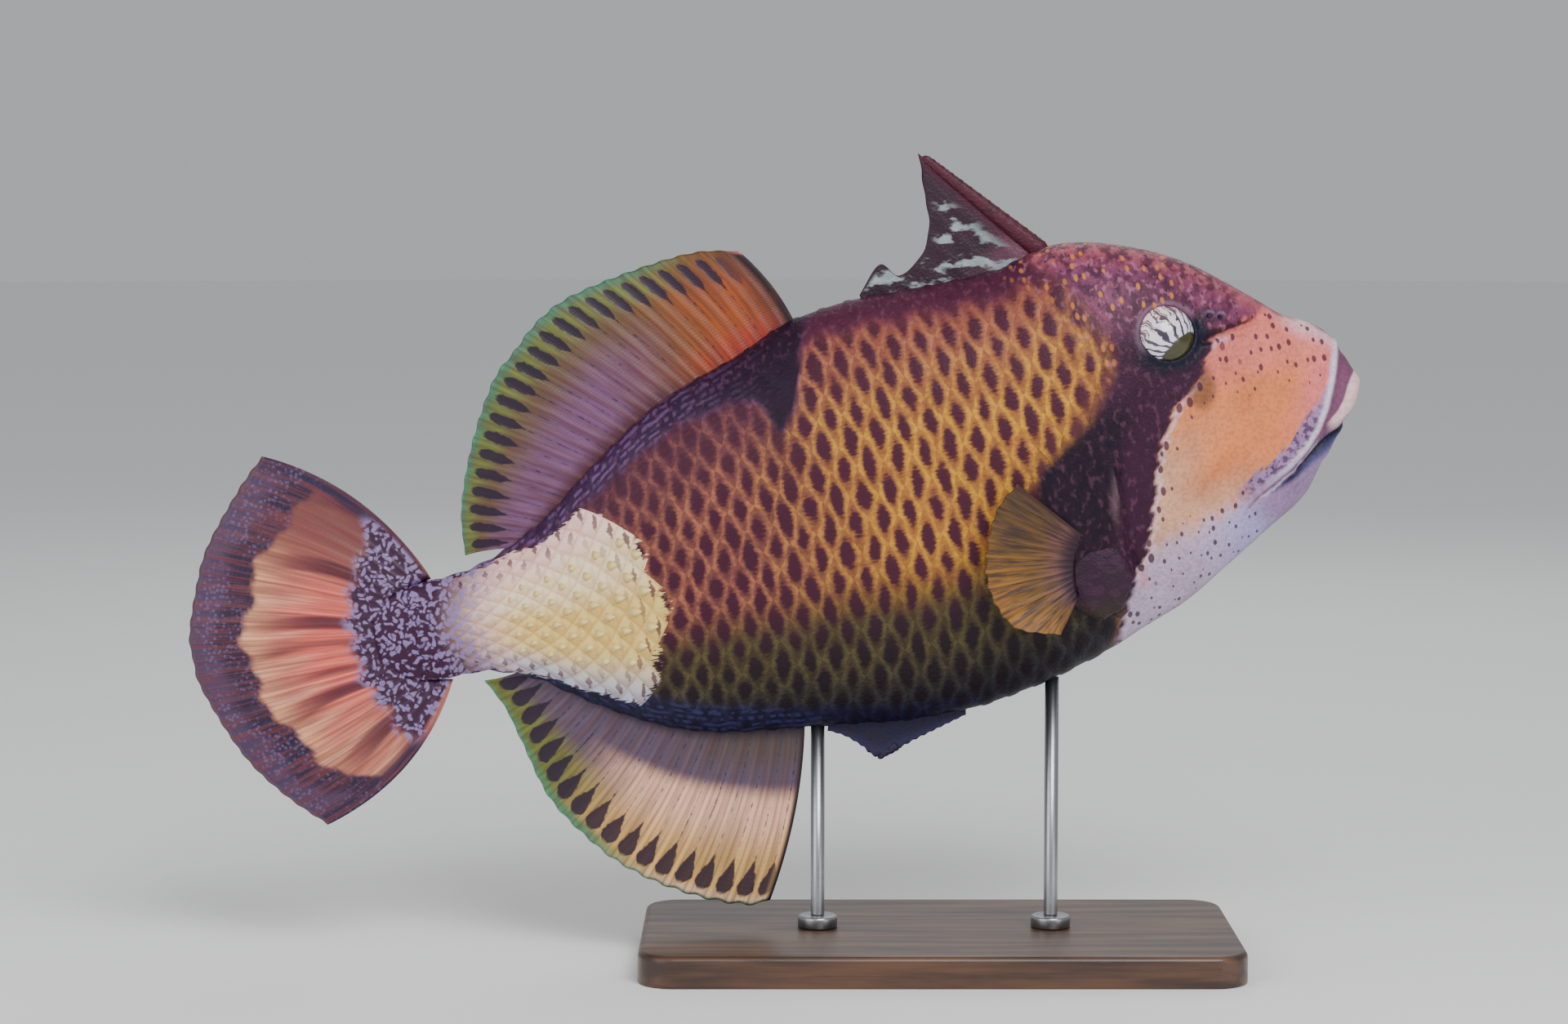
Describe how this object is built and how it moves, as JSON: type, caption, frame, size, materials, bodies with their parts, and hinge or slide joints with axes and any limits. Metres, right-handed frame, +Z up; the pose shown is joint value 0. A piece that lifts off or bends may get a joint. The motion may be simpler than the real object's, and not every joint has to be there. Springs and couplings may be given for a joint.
{
  "type": "titan triggerfish model",
  "caption": "Life-size titan triggerfish, nose up in a slow swim, as a still display model on a flat base with two rods.",
  "frame": {"origin": "centre of the underside of the stand's base", "axes": "+X from the tail towards the snout, +Y to the fish's left, +Z up from the base"},
  "size_m": [0.5872, 0.15, 0.4063],
  "materials": {
    "head_skin": "orange cheek with dark dots, pink and purple crown, pale lips and chin, wet satin sheen",
    "trunk_skin": "dark maroon scales in an orange-yellow net, wet satin sheen",
    "tail_stalk_skin": "pale cream with a fine darker net and bright short spines",
    "spiny_fin": "dark maroon mottled with grey-green",
    "soft_fin": "orange and lilac rays in thin satin skin, teal margin",
    "tail_fin": "orange-pink centre and purple-black margin, satin",
    "breast_fin": "orange-yellow rays with a dark fleshy base, satin",
    "belly_flap": "dark navy, rough",
    "spine": "grey-purple, rough",
    "eye": "opaque glossy eye, white with dark radiating lines round a dark pupil",
    "stand_base": "dark oiled wood",
    "stand_metal": "brushed steel"
  },
  "bodies": {
    "root": {"head": "head_skin", "trunk": "trunk_skin", "tail_stalk": "tail_stalk_skin", "spiny_dorsal_fin": "spiny_fin", "soft_dorsal_fin": "soft_fin", "anal_fin": "soft_fin", "caudal_fin": "tail_fin", "belly_flap": "belly_flap", "pelvic_spine": "spine", "pectoral_fin_left": "breast_fin", "pectoral_fin_right": "breast_fin", "eye_left": "eye", "eye_right": "eye", "stand_base": "stand_base", "stand_collar_front": "stand_metal", "stand_collar_rear": "stand_metal", "stand_rod_front": "stand_metal", "stand_rod_rear": "stand_metal"}
  },
  "joints": []
}
